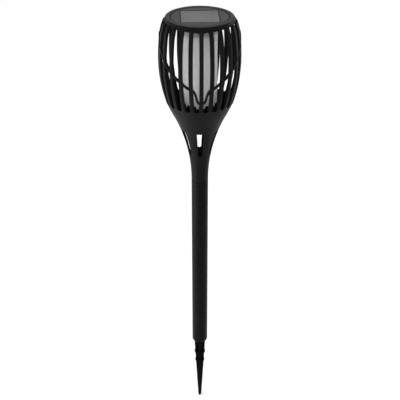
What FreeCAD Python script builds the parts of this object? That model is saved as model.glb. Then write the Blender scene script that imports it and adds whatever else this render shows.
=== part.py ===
import FreeCAD, Part
import math
import os

import Sketcher

# A black plastic solar torch for the garden. The stake's tip is at the origin and +Z is up.
# Front is -Y. Every height is measured up from the tip, in millimetres.

DRIVING_SIZES = {
    # whole torch
    "lid_level": 714.6, "cage_level": 652.0, "rim_level": 588.5, "neck_level": 454.0,
    "pole_joint_level": 270.0, "pole_foot_level": 135.0,
    "cage_diameter": 120.0, "rim_radius": 50.1, "pole_diameter": 26.0,
    "running_gap": 0.06, "loose_gap": 0.3,
    # cage
    "rib_count": 24, "rib_width": 5.9, "rib_depth": 5.0, "bulge_radius": 209.0,
    "upper_bulge_radius": 400.0, "shoulder_drop": 22.6, "shoulder_radius": 76.0,
    "rib_corner_radius": 53.0, "rib_corner_drop": 5.7, "rib_corner_round": 2.6, "rib_top_drop": 4.6,
    "ring_radius": 50.1, "ring_top_radius": 49.5, "ring_top_drop": 0.5, "ring_height": 6.9,
    "ring_chamfer": 1.0,
    "seat_drop": 4.7, "ledge_radius": 43.0, "flame_width": 2.6, "flame_proud": 0.7, "flame_depth": 3.6,
    # funnel
    "funnel_wall": 3.0, "funnel_arc_radius": 243.8, "funnel_line_radius": 37.6,
    "funnel_line_level": 562.5, "slot_count": 6, "slot_top_level": 546.4,
    "slot_bottom_level": 502.8, "slot_top_width": 11.9, "slot_bottom_width": 6.0,
    "slot_corner": 2.4, "slot_top_corner": 1.0, "socket_depth": 36.0, "floor_thickness": 3.0,
    "funnel_floor_radius": 12.6,
    # poles
    "pole_bore_radius": 11.0, "spigot_length": 34.0, "spigot_bore_radius": 9.0,
    "stake_socket_radius": 8.5, "stake_socket_depth": 38.0, "foot_round": 3.7,
    # stake
    "stake_top_radius": 9.6, "stake_low_radius": 2.95, "stake_low_level": 9.0,
    "fin_thickness": 3.0, "core_radius": 2.6, "collar_thickness": 4.0, "collar_radius": 9.5,
    "barb_height": 5.6, "barb_crown": 3.0, "barb_slope": 1.4, "upper_barb_level": 106.5,
    "upper_barb_radius": 9.3, "lower_barb_level": 87.0, "lower_barb_radius": 8.1,
    # lid and solar panel
    "lid_radius": 48.4, "lid_plate": 3.7, "rim_crest_radius": 41.6, "rim_crest": 1.2,
    "rim_fall": 0.5, "panel_side": 54.6, "panel_recess": 2.7, "carrier_thickness": 1.6,
    "wafer_side": 52.0, "wafer_thickness": 0.3, "laminate_thickness": 0.6, "finger_groove": 2.8,
    "seal_inner_radius": 44.8, "seal_outer_radius": 47.6,
    # lamp housing
    "housing_radius": 42.5, "housing_wall": 2.0, "housing_level": 704.0, "housing_floor": 1.2,
    "hub_radius": 21.4, "hub_level": 699.5, "lug_reach": 2.8, "lug_height": 2.3, "lug_width": 12.0,
    "boss_radius": 2.8, "screw_ring_radius": 37.0, "screw_radius": 1.2, "screw_head_radius": 2.4,
    "screw_head_height": 1.5, "screw_length": 8.4,
    # electronics
    "board_length": 40.0, "board_width": 22.0, "board_thickness": 1.2, "board_offset": 22.0,
    "board_level": 708.8, "post_radius": 1.6, "switch_side": 6.0, "switch_height": 1.8,
    "button_radius": 2.94, "button_flange_radius": 4.0, "button_flange": 0.7, "button_drop": 1.6,
    "switch_offset": 12.0, "switch_setback": 22.0,
    # diffuser and light source
    "diffuser_radius": 25.5, "diffuser_wall": 1.5, "diffuser_neck_radius": 19.5,
    "diffuser_shoulder": 3.63, "diffuser_shoulder_level": 691.0, "diffuser_foot_level": 584.0,
    "cone_foot_radius": 24.9, "cone_foot_level": 693.0, "cone_top_radius": 21.2, "cone_top_level": 699.2,
    "diffuser_neck_level": 703.0, "base_thickness": 2.5, "base_lip": 1.5, "tooth_height": 4.2,
    "tooth_count": 18, "core_tube_radius": 13.4, "core_tube_bore": 11.0, "core_shelf_level": 610.0,
    "strip_thickness": 0.25, "led_columns": 12, "led_rows": 8, "led_side": 2.8, "led_height": 1.1,
    "led_pitch": 11.0, "led_first_level": 606.0,
    # battery
    "battery_radius": 9.2, "battery_length": 65.0, "battery_level": 623.0, "spring_wire": 0.45,
    "spring_radius": 5.0, "spring_turns": 4, "contact_thickness": 0.5, "contact_radius": 9.6,
    "wire_radius": 0.5,
}

SHEET = "Sizes"
doc = FreeCAD.newDocument("solar_torch")
sheet = doc.addObject("Spreadsheet::Sheet", SHEET)
for row, (alias, number) in enumerate(DRIVING_SIZES.items(), start=1):
    sheet.set(f"A{row}", alias)
    sheet.set(f"B{row}", str(number))
    sheet.setAlias(f"B{row}", alias)
doc.recompute()


class Size:
    """A number together with the spreadsheet expression that gives it."""

    def __init__(self, value, text):
        self.value = value
        self.text = text

    def _join(self, sign, other, value):
        return Size(value, f"({self.text} {sign} {other.text})")

    def __add__(self, other):
        other = as_size(other)
        return self._join("+", other, self.value + other.value)

    def __sub__(self, other):
        other = as_size(other)
        return self._join("-", other, self.value - other.value)

    def __mul__(self, other):
        other = as_size(other)
        return self._join("*", other, self.value * other.value)

    def __truediv__(self, other):
        other = as_size(other)
        return self._join("/", other, self.value / other.value)

    def __neg__(self):
        return as_size(0) - self


def as_size(number):
    if isinstance(number, Size):
        return number
    return Size(float(number), repr(float(number)))


def size(alias):
    return Size(float(sheet.get(alias)), f"{SHEET}.{alias}")


def number(alias):
    return float(sheet.get(alias))


def bind(item, path, length):
    length = as_size(length)
    item.setExpression(path, length.text)


pieces = []


def finished(item, label):
    item.Label = label
    pieces.append(item)
    return item


# ---------------------------------------------------------------- sketch and body helpers

def new_body(label):
    body = doc.addObject("PartDesign::Body", f"{label}_body")
    return finished(body, label)


def plane_of(body, role):
    return next(item for item in body.Origin.OriginFeatures if item.Role == role)


def new_sketch(body, name, role="XZ_Plane", offset=None):
    sketch = body.newObject("Sketcher::SketchObject", name)
    sketch.AttachmentSupport = [(plane_of(body, role), "")]
    sketch.MapMode = "FlatFace"
    if offset is not None:
        bind(sketch, "AttachmentOffset.Base.z", offset)
    return sketch


def pin_point(sketch, geometry, point, across, up):
    """Holds one end of a sketch edge at two sizes measured from the sketch's origin."""
    for kind, length in (("DistanceX", across), ("DistanceY", up)):
        index = sketch.addConstraint(
            Sketcher.Constraint(kind, -1, 1, geometry, point, length.value))
        bind(sketch, f"Constraints[{index}]", length)


def arc_between(start, end, radius):
    """Minor arc from start to end; a positive radius bulges to the right of the direction."""
    middle = (start + end) * 0.5
    chord = end - start
    half = chord.Length / 2
    right = FreeCAD.Vector(chord.y, -chord.x, 0).normalize()
    side = 1 if radius > 0 else -1
    height = math.sqrt(radius * radius - half * half)
    centre = middle - right * (side * height)
    top = centre + right * (side * abs(radius))
    return Part.Arc(start, top, end)


def draw_outline(sketch, outline):
    """Draws a closed outline of (across, up) or (across, up, arc radius to the next point)."""
    corners = [(as_size(entry[0]), as_size(entry[1])) for entry in outline]
    spots = [FreeCAD.Vector(across.value, up.value, 0) for across, up in corners]
    count = len(outline)
    edges = []
    for place, entry in enumerate(outline):
        start = spots[place]
        end = spots[(place + 1) % count]
        if len(entry) == 3:
            radius, side = entry[2] if isinstance(entry[2], tuple) else (entry[2], 1)
            arc = arc_between(start, end, side * as_size(radius).value)
            edge = sketch.addGeometry(arc, False)
            forward = (sketch.getPoint(edge, 1) - start).Length < 1e-6
            edges.append((edge, 1 if forward else 2, 2 if forward else 1))
            index = sketch.addConstraint(
                Sketcher.Constraint("Radius", edge, as_size(radius).value))
            bind(sketch, f"Constraints[{index}]", radius)
        else:
            edge = sketch.addGeometry(Part.LineSegment(start, end), False)
            edges.append((edge, 1, 2))
    for place, (edge, first, last) in enumerate(edges):
        following, following_first, _ = edges[(place + 1) % count]
        sketch.addConstraint(Sketcher.Constraint("Coincident", edge, last, following, following_first))
        pin_point(sketch, edge, first, *corners[place])


def draw_circle(sketch, across, up, radius):
    across, up, radius = as_size(across), as_size(up), as_size(radius)
    centre = FreeCAD.Vector(across.value, up.value, 0)
    edge = sketch.addGeometry(Part.Circle(centre, FreeCAD.Vector(0, 0, 1), radius.value), False)
    pin_point(sketch, edge, 3, across, up)
    index = sketch.addConstraint(Sketcher.Constraint("Radius", edge, radius.value))
    bind(sketch, f"Constraints[{index}]", radius)


def revolve(body, name, outline, cut=False):
    sketch = new_sketch(body, f"{name}_outline")
    draw_outline(sketch, outline)
    kind = "PartDesign::Groove" if cut else "PartDesign::Revolution"
    turn = body.newObject(kind, name)
    turn.Profile = sketch
    turn.ReferenceAxis = (sketch, ["V_Axis"])
    turn.Angle = 360
    return turn


def pad(body, name, level, height, draw, cut=False):
    """Pads (or pockets) upward from a level the shapes that draw puts in the sketch."""
    sketch = new_sketch(body, f"{name}_outline", "XY_Plane", level)
    draw(sketch)
    feature = body.newObject("PartDesign::Pocket" if cut else "PartDesign::Pad", name)
    feature.Profile = sketch
    bind(feature, "Length", height)
    feature.Reversed = cut
    return feature


def pattern(body, name, features, count):
    polar = body.newObject("PartDesign::PolarPattern", name)
    polar.Originals = features
    polar.Axis = (features[0].Profile[0], ["V_Axis"] if is_upright(features[0]) else ["N_Axis"])
    polar.Angle = 360
    bind(polar, "Occurrences", count)
    body.Tip = polar
    return polar


def is_upright(feature):
    plane = feature.Profile[0].AttachmentSupport[0][0]
    return plane.Role != "XY_Plane"


def rectangle(left, bottom, width, depth):
    left, bottom = as_size(left), as_size(bottom)
    right = left + width
    top = bottom + depth
    return [(left, bottom), (right, bottom), (right, top), (left, top)]


def ring_outline(inner, outer, low, high):
    return [(inner, low), (outer, low), (outer, high), (inner, high)]


# ---------------------------------------------------------------- lines of the head

def cage_outline_radius(level):
    """Outer radius of the cage at a level between the funnel's rim and the shoulder."""
    drop = level - number("cage_level")
    bow = number("upper_bulge_radius") if drop > 0 else number("bulge_radius")
    return number("cage_diameter") / 2 - bow + math.sqrt(bow * bow - drop * drop)


# ---------------------------------------------------------------- ground stake and poles

def make_stake():
    body = new_body("ground_stake")
    foot = size("pole_foot_level")
    collar_level = foot - size("collar_thickness")
    reach = size("collar_radius") + 1
    half = size("fin_thickness") / 2
    pad(body, "stake_fins", 0, collar_level, lambda sketch: draw_outline(sketch, [
        (-half, -reach), (half, -reach), (half, -half), (reach, -half), (reach, half),
        (half, half), (half, reach), (-half, reach), (-half, half), (-reach, half),
        (-reach, -half), (-half, -half)]))
    low = size("stake_low_radius")
    revolve(body, "stake_core", [
        (0, 0), (size("core_radius") / 2, 0), (size("core_radius"), collar_level), (0, collar_level)])
    revolve(body, "stake_taper", [
        (0, -2), (reach * 2, -2), (reach * 2, foot), (size("stake_top_radius"), foot),
        (low, size("stake_low_level")), (low * 0.82, low), (low * 0.5, low * 0.3), (0, 0)], cut=True)
    for name, level, radius in (("upper_barb", size("upper_barb_level"), size("upper_barb_radius")),
                                ("lower_barb", size("lower_barb_level"), size("lower_barb_radius"))):
        half_barb = size("barb_height") / 2
        half_crown = size("barb_crown") / 2
        root = radius - size("barb_slope")
        revolve(body, name, [
            (0, level - half_barb), (root, level - half_barb), (radius, level - half_crown),
            (radius, level + half_crown), (root, level + half_barb), (0, level + half_barb)])
    plug = size("stake_socket_radius") - size("running_gap")
    plug_top = foot + size("stake_socket_depth") - 2
    revolve(body, "stake_plug", [
        (0, collar_level), (size("collar_radius") - 0.8, collar_level),
        (size("collar_radius"), collar_level + 0.8), (size("collar_radius"), foot), (plug, foot),
        (plug, plug_top - 1.5), (plug - 1.5, plug_top), (0, plug_top)])


def make_pole(label, foot, top, socket_radius, socket_depth, foot_round):
    """A pole section: bored tube, a spigot on top, and a socket at the foot."""
    body = new_body(label)
    outer = size("pole_diameter") / 2
    spigot = size("pole_bore_radius") - size("running_gap")
    spigot_top = top + size("spigot_length")
    spigot_bore = size("spigot_bore_radius")
    shelf = top - 6
    bore = size("pole_bore_radius")
    outline = [
        (socket_radius, foot), (outer - foot_round, foot, foot_round), (outer, foot + foot_round),
        (outer, top - 0.5), (outer - 0.5, top), (spigot, top), (spigot, spigot_top - 1.2),
        (spigot - 1.2, spigot_top), (spigot_bore, spigot_top), (spigot_bore, shelf), (bore, shelf - 2)]
    if socket_radius.value < bore.value:
        outline += [(bore, foot + socket_depth), (socket_radius, foot + socket_depth)]
    revolve(body, f"{label}_tube", outline)


def make_poles():
    make_pole("pole_lower", size("pole_foot_level"), size("pole_joint_level"),
              size("stake_socket_radius"), size("stake_socket_depth"), size("foot_round"))
    make_pole("pole_upper", size("pole_joint_level"), size("neck_level"),
              size("pole_bore_radius"), as_size(0), as_size(0.5))


# ---------------------------------------------------------------- funnel and cage

def make_funnel():
    body = new_body("funnel")
    neck = size("neck_level")
    outer = size("pole_diameter") / 2
    wall = size("funnel_wall")
    rim = size("rim_level")
    line_radius = size("funnel_line_radius")
    line_level = size("funnel_line_level")
    arc = size("funnel_arc_radius")
    arc_foot = neck + 2
    bore = size("pole_bore_radius")
    floor = neck + size("socket_depth") + size("floor_thickness")
    revolve(body, "funnel_wall", [
        (bore, neck), (outer - 0.5, neck), (outer, neck + 0.5), (outer, arc_foot, (arc, -1)),
        (line_radius, line_level), (size("rim_radius"), rim - 0.4),
        (size("rim_radius") - 0.4, rim), (size("rim_radius") - wall, rim),
        (line_radius - wall * 1.1, line_level, (arc + wall, 1)), (size("funnel_floor_radius"), floor),
        (0, floor), (0, neck + size("socket_depth")), (bore, neck + size("socket_depth"))])
    sketch = new_sketch(body, "slot_outline")
    half_top = size("slot_top_width") / 2
    half_bottom = size("slot_bottom_width") / 2
    corner = size("slot_corner")
    small = size("slot_top_corner")
    low = size("slot_bottom_level")
    high = size("slot_top_level")
    draw_outline(sketch, [
        (corner - half_bottom, low), (half_bottom - corner, low, (corner, 1)),
        (half_bottom, low + corner), (half_top, high - small, (small, 1)), (half_top - small, high),
        (small - half_top, high, (small, 1)), (-half_top, high - small),
        (-half_bottom, low + corner, (corner, 1))])
    slot = body.newObject("PartDesign::Pocket", "slot")
    slot.Profile = sketch
    bind(slot, "Length", size("cage_diameter") / 2)
    doc.recompute()
    slot.Reversed = slot.Shape.BoundBox.isValid() and slot_points_back(slot)
    pattern(body, "slots", [slot], size("slot_count"))


def slot_points_back(slot):
    """True when the pocket runs towards +Y, away from the front."""
    return slot.Profile[0].getGlobalPlacement().Rotation.multVec(FreeCAD.Vector(0, 0, -1)).y > 0


def make_cage_ring():
    body = new_body("cage_ring")
    top = size("lid_level") - size("ring_top_drop")
    foot = top - size("ring_height")
    seat = size("lid_level") - size("seat_drop")
    outer = size("ring_radius")
    outer_top = size("ring_top_radius")
    pocket = size("lid_radius") + size("loose_gap")
    chamfer = size("ring_chamfer")
    revolve(body, "ring_wall", [
        (size("ledge_radius"), foot), (outer - chamfer, foot), (outer, foot + chamfer),
        (outer_top, top - 0.3), (outer_top - 0.3, top), (pocket, top), (pocket, seat),
        (size("ledge_radius"), seat)])
    notch = pad(body, "bayonet_notch", foot - 1, size("ring_height") + 2, lambda sketch: draw_outline(
        sketch, rectangle(-(size("lug_width") / 2) - 1.5, -(size("ledge_radius") + 3.2),
                          size("lug_width") + 3, as_size(6))), cut=True)
    pattern(body, "bayonet_notches", [notch], as_size(3))


def make_ribs():
    body = new_body("cage_ribs")
    sketch = new_sketch(body, "rib_outline", "YZ_Plane")
    depth = size("rib_depth")
    crown = size("cage_diameter") / 2
    crown_level = size("cage_level")
    rim = size("rim_level")
    shoulder_level = size("lid_level") - size("shoulder_drop")
    rise = shoulder_level - crown_level
    shoulder = as_size(cage_outline_radius(shoulder_level.value))
    ring = size("ring_radius")
    top = size("lid_level") - size("rib_top_drop")
    corner_radius = size("rib_corner_radius")
    corner_level = size("lid_level") - size("rib_corner_drop")
    foot_sink = 2.0
    draw_outline(sketch, [
        (size("rim_radius") - 1.0, rim - foot_sink), (size("rim_radius"), rim, (size("bulge_radius"), 1)),
        (crown, crown_level, (size("upper_bulge_radius"), 1)),
        (shoulder, shoulder_level, (size("shoulder_radius"), 1)),
        (corner_radius, corner_level, (size("rib_corner_round"), 1)),
        (ring - 0.8, top), (ring - 0.8, top - 2.4, (size("shoulder_radius") - depth, -1)),
        (shoulder - depth, shoulder_level - 1, (size("upper_bulge_radius") - depth, -1)),
        (crown - depth, crown_level, (size("bulge_radius") - depth, -1)),
        (size("rim_radius") - depth + 0.6, rim + 1), (size("rim_radius") - depth + 0.6, rim - foot_sink)])
    rib = body.newObject("PartDesign::Pad", "rib")
    rib.Profile = sketch
    rib.SideType = "Symmetric"
    bind(rib, "Length", size("rib_width"))
    doc.recompute()
    pattern(body, "ribs", [rib], size("rib_count"))


# Half of the flame outline, from its low middle to the side of the cage: angle round the
# axis in degrees and level above the middle's level.
FLAME_HALF = [(0.0, 0.0), (5.5, 4.0), (8.4, 14.0), (12.0, 21.6), (20.0, 25.4), (32.0, 33.5),
              (46.0, 43.5), (61.0, 59.0), (75.0, 74.0), (90.0, 90.0)]
FLAME_LOW_LEVEL = 603.6
FLAME_STEPS = 96


def make_flame_outline():
    """A thin wavy band on the front of the cage that stands a little proud of the ribs."""
    half = [(angle, FLAME_LOW_LEVEL + rise) for angle, rise in FLAME_HALF]
    whole = [(-angle, level) for angle, level in reversed(half[1:])] + half
    flat = Part.BSplineCurve()
    flat.interpolate([FreeCAD.Vector(angle, level, 0) for angle, level in whole])
    sections = []
    for step in range(FLAME_STEPS + 1):
        place = flat.FirstParameter + (flat.LastParameter - flat.FirstParameter) * step / FLAME_STEPS
        point = flat.value(place)
        lean = flat.tangent(place)[0]
        radius = cage_outline_radius(point.y)
        turn = math.radians(point.x)
        outward = FreeCAD.Vector(math.sin(turn), -math.cos(turn), 0)
        around = FreeCAD.Vector(math.cos(turn), math.sin(turn), 0)
        slope = cage_outline_radius(point.y + 0.5) - cage_outline_radius(point.y - 0.5)
        upward = FreeCAD.Vector(0, 0, 1) + outward * slope
        along = around * (math.radians(lean.x) * radius) + upward * lean.y
        across = along.normalize().cross(outward).normalize() * (number("flame_width") / 2)
        middle = outward * radius + FreeCAD.Vector(0, 0, point.y)
        front = outward * number("flame_proud")
        back = outward * number("flame_depth")
        corners = [middle - across - back, middle + across - back,
                   middle + across + front, middle - across + front]
        sections.append(Part.makePolygon(corners + corners[:1]))
    band = Part.makeLoft(sections, True, True)
    feature = doc.addObject("Part::Feature", "flame_band")
    feature.Shape = band
    finished(feature, "flame_outline")


# ---------------------------------------------------------------- lid and solar panel

SCREW_ANGLES = (90, 210, 330)


def screw_spot(angle):
    ring = size("screw_ring_radius")
    turn = math.radians(angle)
    return ring * math.cos(turn), ring * math.sin(turn)


def lid_underside():
    return size("lid_level") - size("lid_plate")


def make_lid():
    body = new_body("lid")
    top = size("lid_level")
    under = lid_underside()
    crest = size("rim_crest_radius")
    edge = size("lid_radius")
    crest_level = top + size("rim_crest")
    edge_level = crest_level - size("rim_fall")
    revolve(body, "lid_disc", [
        (0, under), (edge, under), (edge, edge_level - 0.6), (edge - 0.6, edge_level),
        (crest + 0.5, crest_level), (crest, crest_level - 0.4), (crest, top - 0.5),
        (crest - 0.7, top - 0.5), (crest - 1.1, top), (0, top)])
    half = size("panel_side") / 2 + 0.2
    pad(body, "panel_recess", top - size("panel_recess"), size("panel_recess") + 2,
        lambda sketch: draw_outline(sketch, rectangle(-half, -half, half * 2, half * 2)), cut=True)
    wire_hole = size("wire_radius") + 0.6
    pad(body, "wire_holes", under - 1, size("lid_plate"),
        lambda sketch: [draw_circle(sketch, across, 10, wire_hole) for across in (-3, 3)], cut=True)
    groove = size("finger_groove")
    notch = pad(body, "finger_groove", top - 0.3, as_size(3), lambda sketch: draw_outline(
        sketch, rectangle(crest + 1.5, -(groove / 2), edge - crest, groove)), cut=True)
    pattern(body, "finger_grooves", [notch], as_size(2))
    for angle in SCREW_ANGLES:
        across, up = screw_spot(angle)
        pad(body, f"pilot_hole_{angle}", under - 1, as_size(2.6),
            lambda sketch: draw_circle(sketch, across, up, size("screw_radius")), cut=True)


def make_panel():
    top = size("lid_level")
    floor = top - size("panel_recess")
    side = size("panel_side")
    layers = (
        ("cell_carrier", floor, size("carrier_thickness"), side),
        ("solar_cell", floor + size("carrier_thickness"), size("wafer_thickness"), size("wafer_side")),
        ("cell_laminate", floor + size("carrier_thickness") + size("wafer_thickness"),
         size("laminate_thickness"), side),
    )
    for label, level, thickness, width in layers:
        box = doc.addObject("Part::Box", f"{label}_sheet")
        for path, length in (("Length", width), ("Width", width), ("Height", thickness),
                             ("Placement.Base.x", -(width / 2)), ("Placement.Base.y", -(width / 2)),
                             ("Placement.Base.z", level)):
            bind(box, path, length)
        finished(box, label)


def make_seal():
    body = new_body("lid_seal")
    seat = size("lid_level") - size("seat_drop")
    revolve(body, "seal_ring", ring_outline(
        size("seal_inner_radius"), size("seal_outer_radius"), seat, lid_underside()))


# ---------------------------------------------------------------- lamp housing

def make_housing():
    body = new_body("lamp_housing")
    outer = size("housing_radius")
    inner = outer - size("housing_wall")
    foot = size("housing_level")
    floor = foot + size("housing_floor")
    top = lid_underside()
    hub = size("hub_radius")
    hub_foot = size("hub_level")
    neck_top = size("diffuser_neck_level")
    neck_hole = size("diffuser_neck_radius") + 0.15
    revolve(body, "housing_cup", [
        (size("core_tube_bore"), neck_top), (neck_hole, neck_top), (neck_hole, hub_foot),
        (hub, hub_foot), (hub, foot), (outer - 0.6, foot), (outer, foot + 0.6), (outer, top),
        (inner, top), (inner, floor), (size("core_tube_bore"), floor)])
    lug_foot = foot + 0.6
    lug = pad(body, "bayonet_lug", lug_foot, size("lug_height"), lambda sketch: draw_outline(
        sketch, rectangle(-(size("lug_width") / 2), -(outer + size("lug_reach")),
                          size("lug_width"), size("lug_reach") + 1)))
    doc.recompute()
    pattern(body, "bayonet_lugs", [lug], as_size(3))
    for angle in SCREW_ANGLES:
        across, up = screw_spot(angle)
        pad(body, f"screw_boss_{angle}", floor - 0.2, top - floor + 0.2,
            lambda sketch: draw_circle(sketch, across, up, size("boss_radius")))
        pad(body, f"screw_hole_{angle}", foot - 1, top - foot + 2,
            lambda sketch: draw_circle(sketch, across, up, size("screw_radius") + 0.05), cut=True)
    for index, (across, up) in enumerate(board_corners(inset=3)):
        pad(body, f"board_post_{index}", floor - 0.2, size("board_level") - floor + 0.2,
            lambda sketch: draw_circle(sketch, across, up, size("post_radius")))
    pad(body, "button_hole", foot - 1, size("housing_floor") + 2, lambda sketch: draw_circle(
        sketch, -size("switch_offset"), size("switch_setback"),
        size("button_radius") + size("running_gap")), cut=True)


def make_screws():
    foot = size("housing_level")
    screws = []
    for angle in SCREW_ANGLES:
        across, up = screw_spot(angle)
        parts = []
        for name, radius, level, height in (
                ("head", size("screw_head_radius"), foot - size("screw_head_height"),
                 size("screw_head_height")),
                ("shank", size("screw_radius") - 0.02, foot - 0.2, size("screw_length") + 0.2)):
            cylinder = doc.addObject("Part::Cylinder", f"screw_{name}_{angle}")
            for path, length in (("Radius", radius), ("Height", height), ("Placement.Base.x", across),
                                 ("Placement.Base.y", up), ("Placement.Base.z", level)):
                bind(cylinder, path, length)
            parts.append(cylinder)
        slots = doc.addObject("Part::Box", f"screw_slot_{angle}")
        for path, length in (("Length", size("screw_head_radius") * 2 + 1), ("Width", as_size(0.7)),
                             ("Height", as_size(1.0)),
                             ("Placement.Base.x", across - size("screw_head_radius") - 0.5),
                             ("Placement.Base.y", up - 0.35),
                             ("Placement.Base.z", foot - size("screw_head_height") - 0.4)):
            bind(slots, path, length)
        whole = doc.addObject("Part::MultiFuse", f"screw_blank_{angle}")
        whole.Shapes = parts
        screw = doc.addObject("Part::Cut", f"screw_{angle}")
        screw.Base = whole
        screw.Tool = slots
        screws.append(screw)
    group = doc.addObject("Part::Compound", "screw_group")
    group.Links = screws
    finished(group, "housing_screws")


# ---------------------------------------------------------------- electronics

def board_corners(inset):
    half = size("board_length") / 2 - inset
    near = size("board_offset") - size("board_width") / 2 + inset
    far = size("board_offset") + size("board_width") / 2 - inset
    return [(-half, near), (half, near), (-half, far), (half, far)]


def make_block(name, across, back, level, width, depth, height):
    box = doc.addObject("Part::Box", name)
    for path, length in (("Length", width), ("Width", depth), ("Height", height),
                         ("Placement.Base.x", as_size(across) - as_size(width) / 2),
                         ("Placement.Base.y", as_size(back) - as_size(depth) / 2),
                         ("Placement.Base.z", level)):
        bind(box, path, length)
    return box


def make_board():
    level = size("board_level")
    finished(make_block("board_sheet", 0, size("board_offset"), level, size("board_length"),
                        size("board_width"), size("board_thickness")), "circuit_board")
    chips = []
    for index, (across, back, width, depth) in enumerate((
            (4.0, 22.0, 6.0, 5.0), (12.0, 26.0, 4.0, 4.0), (12.0, 17.0, 5.0, 3.0), (-4.0, 17.0, 3.0, 1.6),
            (-4.0, 27.0, 3.0, 1.6))):
        chips.append(make_block(f"chip_{index}", across, back, level - 1.3, as_size(width),
                                as_size(depth), as_size(1.3)))
    group = doc.addObject("Part::Compound", "chip_group")
    group.Links = chips
    finished(group, "board_chips")


def make_switch():
    level = size("board_level") - size("switch_height")
    finished(make_block("switch_case", -size("switch_offset"), size("switch_setback"), level,
                        size("switch_side"), size("switch_side"), size("switch_height")), "switch_body")
    body = new_body("switch_button")
    foot = size("housing_level")
    floor = foot + size("housing_floor")
    radius = size("button_radius")
    low = foot - size("button_drop")
    revolve(body, "button_plunger", [
        (0, low - 0.3), (radius - 1.4, low - 0.2), (radius - 0.5, low), (radius, low + 0.5),
        (radius, floor), (size("button_flange_radius"), floor),
        (size("button_flange_radius"), floor + size("button_flange")),
        (0, floor + size("button_flange"))])
    bind(body, "Placement.Base.x", -size("switch_offset"))
    bind(body, "Placement.Base.y", size("switch_setback"))


# ---------------------------------------------------------------- diffuser and light source

def make_diffuser():
    """A tube that narrows to a short cone under the housing, with a neck that the housing holds."""
    body = new_body("diffuser")
    outer = size("diffuser_radius")
    wall = size("diffuser_wall")
    foot = size("diffuser_foot_level")
    level = size("diffuser_shoulder_level")
    neck = size("diffuser_neck_radius")
    top = size("diffuser_neck_level")
    cone_top = size("cone_top_radius")
    cone_level = size("cone_top_level")
    revolve(body, "diffuser_wall", [
        (outer - wall, foot), (outer, foot), (outer, level, (size("diffuser_shoulder"), 1)),
        (size("cone_foot_radius"), size("cone_foot_level")), (cone_top, cone_level), (neck, cone_level),
        (neck, top), (neck - wall, top), (neck - wall, cone_level - wall),
        (cone_top - wall * 1.1, cone_level - wall), (outer - wall, level)])


def make_diffuser_base():
    body = new_body("diffuser_base")
    foot = size("diffuser_foot_level")
    low = foot - size("base_thickness")
    inner = size("diffuser_radius") + 0.1
    outer = inner + size("base_lip")
    revolve(body, "base_dish", [
        (0, low), (outer - 0.8, low), (outer, low + 0.8), (outer, foot), (outer, foot + 0.6),
        (inner, foot + 0.6), (inner, foot), (0, foot)])
    count = number("tooth_count")
    tooth = size("tooth_height")
    width = as_size(2 * math.pi * outer.value / count * 0.52)
    sketch = new_sketch(body, "tooth_outline", "XY_Plane", foot + 0.4)
    middle = inner + size("base_lip") / 2
    draw_outline(sketch, rectangle(-(width / 2), -middle - size("base_lip") / 2 + 0.25, width,
                                   size("base_lip") - 0.35))
    single = body.newObject("PartDesign::Pad", "tooth")
    single.Profile = sketch
    bind(single, "Length", tooth - 0.4)
    doc.recompute()
    pattern(body, "teeth", [single], size("tooth_count"))


def make_light_core():
    body = new_body("led_core")
    outer = size("core_tube_radius")
    bore = size("core_tube_bore")
    shelf = size("core_shelf_level")
    foot = size("diffuser_foot_level")
    revolve(body, "core_tube", [
        (bore, foot), (outer, foot), (outer, size("diffuser_neck_level")),
        (bore, size("diffuser_neck_level")), (bore, shelf + 2), (4, shelf + 2), (4, shelf),
        (bore, shelf)])
    strip = new_body("led_strip")
    skin = outer + 0.05
    first = size("led_first_level") - 6
    last = size("led_first_level") + size("led_pitch") * (number("led_rows") - 1) + 6
    revolve(strip, "strip_sheet", ring_outline(skin, skin + size("strip_thickness"), first, last))


def make_leds():
    skin = number("core_tube_radius") + 0.05 + number("strip_thickness")
    side = number("led_side")
    lamps = []
    for column in range(int(number("led_columns"))):
        turn = 360.0 * column / number("led_columns")
        for line in range(int(number("led_rows"))):
            level = number("led_first_level") + number("led_pitch") * line
            corner = FreeCAD.Vector(skin - 0.12, -side / 2, level - side / 2)
            lamp = Part.makeBox(number("led_height"), side, side, corner)
            lamp.rotate(FreeCAD.Vector(), FreeCAD.Vector(0, 0, 1), turn)
            lamps.append(lamp)
    feature = doc.addObject("Part::Feature", "led_group")
    feature.Shape = Part.makeCompound(lamps)
    finished(feature, "leds")


def make_battery():
    body = new_body("battery")
    foot = size("battery_level")
    top = foot + size("battery_length")
    radius = size("battery_radius")
    revolve(body, "battery_can", [
        (0, foot), (radius - 0.6, foot), (radius, foot + 0.6), (radius, top - 3),
        (radius - 0.4, top - 2.6), (radius - 0.4, top - 2.2), (radius, top - 1.8),
        (radius - 0.5, top - 1.2), (3, top - 1.2), (3, top), (0, top)])
    contact = new_body("battery_contact")
    thick = size("contact_thickness")
    revolve(contact, "contact_disc", [
        (0, top), (size("contact_radius"), top), (size("contact_radius"), top + thick), (0, top + thick)])


def make_battery_spring():
    body = new_body("battery_spring")
    wire = size("spring_wire")
    low = size("core_shelf_level") + 2 + wire
    height = size("battery_level") - wire - low
    sketch = new_sketch(body, "spring_section")
    draw_circle(sketch, size("spring_radius"), low, wire)
    coil = body.newObject("PartDesign::AdditiveHelix", "spring_coil")
    coil.Profile = sketch
    coil.ReferenceAxis = (sketch, ["V_Axis"])
    coil.Mode = "pitch-height-angle"
    bind(coil, "Height", height)
    bind(coil, "Pitch", height / size("spring_turns"))


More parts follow.
